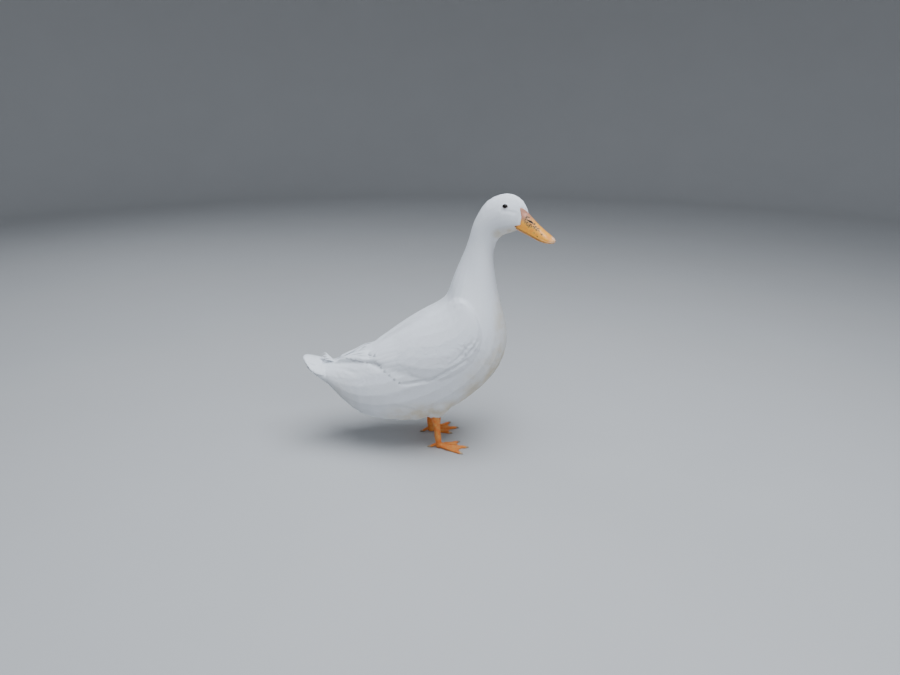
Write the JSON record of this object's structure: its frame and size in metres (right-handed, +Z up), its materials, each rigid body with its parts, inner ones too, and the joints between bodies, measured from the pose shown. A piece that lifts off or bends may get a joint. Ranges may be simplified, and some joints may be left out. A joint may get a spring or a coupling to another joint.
{
  "type": "duck figure",
  "caption": "White farm duck standing on both feet, neck raised and bill tilted down, head turned slightly to its right; a still life-size animal model.",
  "frame": {"origin": "bottom centre of the duck's bounding box, on the floor it stands on", "axes": "+X the way the duck's body faces, +Y its left side, +Z up"},
  "size_m": [0.5148, 0.195, 0.5463],
  "materials": {
    "feathers": "soft white plumage, matt",
    "bill": "smooth orange-yellow horn skin with dark flecks, satin",
    "bill_nail": "pale horn, satin",
    "legs": "orange scaly skin, satin",
    "claws": "horn, satin",
    "eyes": "dark and wet, gloss"
  },
  "bodies": {
    "root": {"bill_lower": "bill", "bill_nail": "bill_nail", "bill_upper": "bill", "claw_hind_left": "claws", "claw_hind_right": "claws", "claw_inner_left": "claws", "claw_inner_right": "claws", "claw_middle_left": "claws", "claw_middle_right": "claws", "claw_outer_left": "claws", "claw_outer_right": "claws", "eye_left": "eyes", "eye_right": "eyes", "foot_left": "legs", "foot_right": "legs", "head": "feathers", "neck_lower": "feathers", "neck_upper": "feathers", "shank_left": "legs", "shank_right": "legs", "tail": "feathers", "thigh_left": "feathers", "thigh_right": "feathers", "trunk": "feathers", "wing_left": "feathers", "wing_right": "feathers", "wing_tip_left": "feathers", "wing_tip_right": "feathers"}
  },
  "joints": []
}
